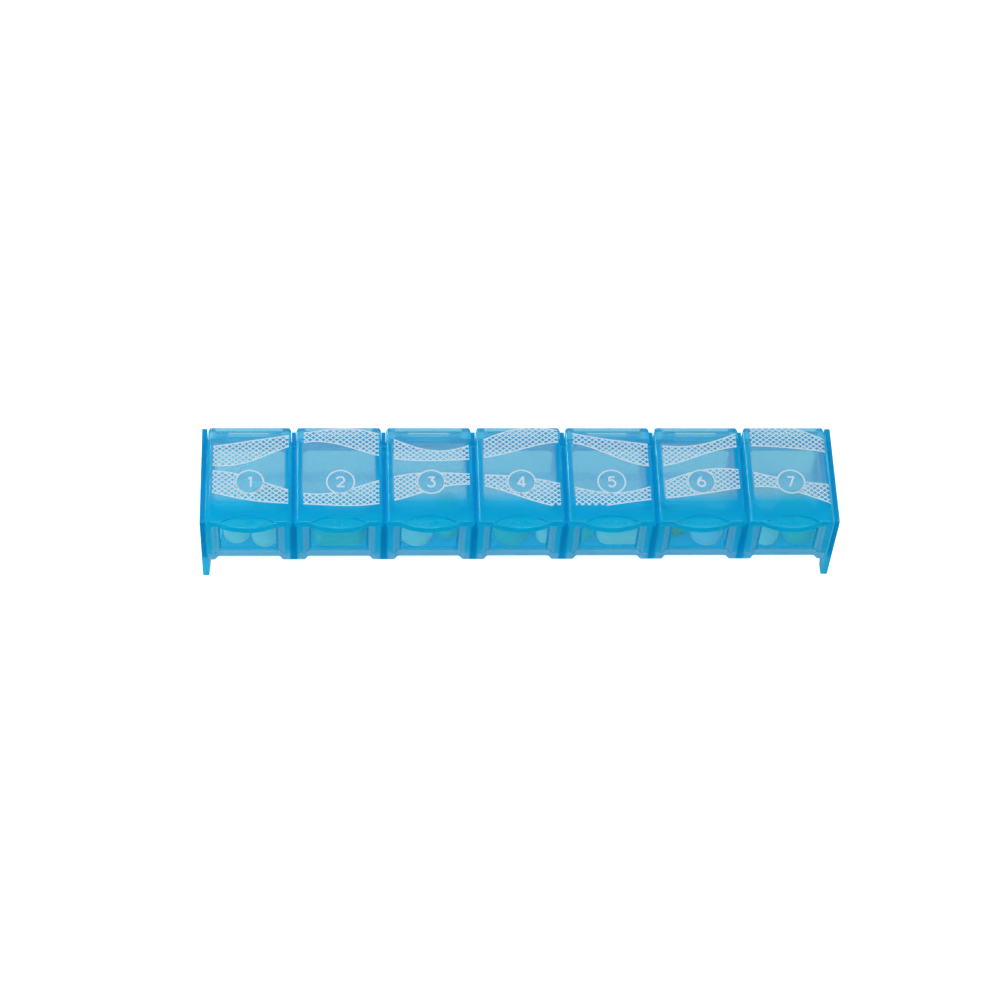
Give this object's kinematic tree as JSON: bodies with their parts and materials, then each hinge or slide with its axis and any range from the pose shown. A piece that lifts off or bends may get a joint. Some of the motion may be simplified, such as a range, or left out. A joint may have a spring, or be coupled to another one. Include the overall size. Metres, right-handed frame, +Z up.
{
  "type": "weekly pill box",
  "caption": "Clear tray on low feet with a row of day compartments, each under its own hinged lid with a finger tab.",
  "frame": {"origin": "on the table, under the middle of the box's outline", "axes": "+X along the row of days from the first to the seventh, +Y from the finger tabs to the hinges, +Z up"},
  "size_m": [0.19, 0.0364, 0.0315],
  "materials": {
    "tray_plastic": "clear tinted polypropylene, glossy as moulded",
    "lid_plastic": "clear tinted polypropylene, glossy, with a white printed pattern and number",
    "pill_white": "smooth film coat",
    "pill_blue_white": "smooth film coat",
    "pill_green": "smooth film coat",
    "pill_olive": "smooth film coat"
  },
  "bodies": {
    "tray": {"tray": "tray_plastic", "caplet_2_green": "pill_green", "caplet_2_white": "pill_white", "caplet_3_green": "pill_green", "caplet_4_white": "pill_white", "caplet_5_white": "pill_white", "caplet_7_green": "pill_green", "tablet_1_green": "pill_green", "tablet_1_white_left": "pill_white", "tablet_1_white_right": "pill_white", "tablet_3_white": "pill_white", "tablet_4_green": "pill_green", "tablet_5_green": "pill_green", "tablet_6_blue_white": "pill_blue_white", "tablet_6_olive": "pill_olive", "tablet_6_white": "pill_white", "tablet_7_white_front": "pill_white", "tablet_7_white_rear": "pill_white"},
    "lid_1": {"lid_1": "lid_plastic"},
    "lid_2": {"lid_2": "lid_plastic"},
    "lid_3": {"lid_3": "lid_plastic"},
    "lid_4": {"lid_4": "lid_plastic"},
    "lid_5": {"lid_5": "lid_plastic"},
    "lid_6": {"lid_6": "lid_plastic"},
    "lid_7": {"lid_7": "lid_plastic"}
  },
  "joints": [
    {"name": "lid_1_hinge", "type": "hinge", "parent": "tray", "child": "lid_1", "pos_m": [-0.081, 0.016, 0.0293], "axis": [-1, 0, 0], "range_deg": [0, 110]},
    {"name": "lid_2_hinge", "type": "hinge", "parent": "tray", "child": "lid_2", "pos_m": [-0.054, 0.016, 0.0293], "axis": [-1, 0, 0], "range_deg": [0, 110]},
    {"name": "lid_3_hinge", "type": "hinge", "parent": "tray", "child": "lid_3", "pos_m": [-0.027, 0.016, 0.0293], "axis": [-1, 0, 0], "range_deg": [0, 110]},
    {"name": "lid_4_hinge", "type": "hinge", "parent": "tray", "child": "lid_4", "pos_m": [0, 0.016, 0.0293], "axis": [-1, 0, 0], "range_deg": [0, 110]},
    {"name": "lid_5_hinge", "type": "hinge", "parent": "tray", "child": "lid_5", "pos_m": [0.027, 0.016, 0.0293], "axis": [-1, 0, 0], "range_deg": [0, 110]},
    {"name": "lid_6_hinge", "type": "hinge", "parent": "tray", "child": "lid_6", "pos_m": [0.054, 0.016, 0.0293], "axis": [-1, 0, 0], "range_deg": [0, 110]},
    {"name": "lid_7_hinge", "type": "hinge", "parent": "tray", "child": "lid_7", "pos_m": [0.081, 0.016, 0.0293], "axis": [-1, 0, 0], "range_deg": [0, 110]}
  ]
}
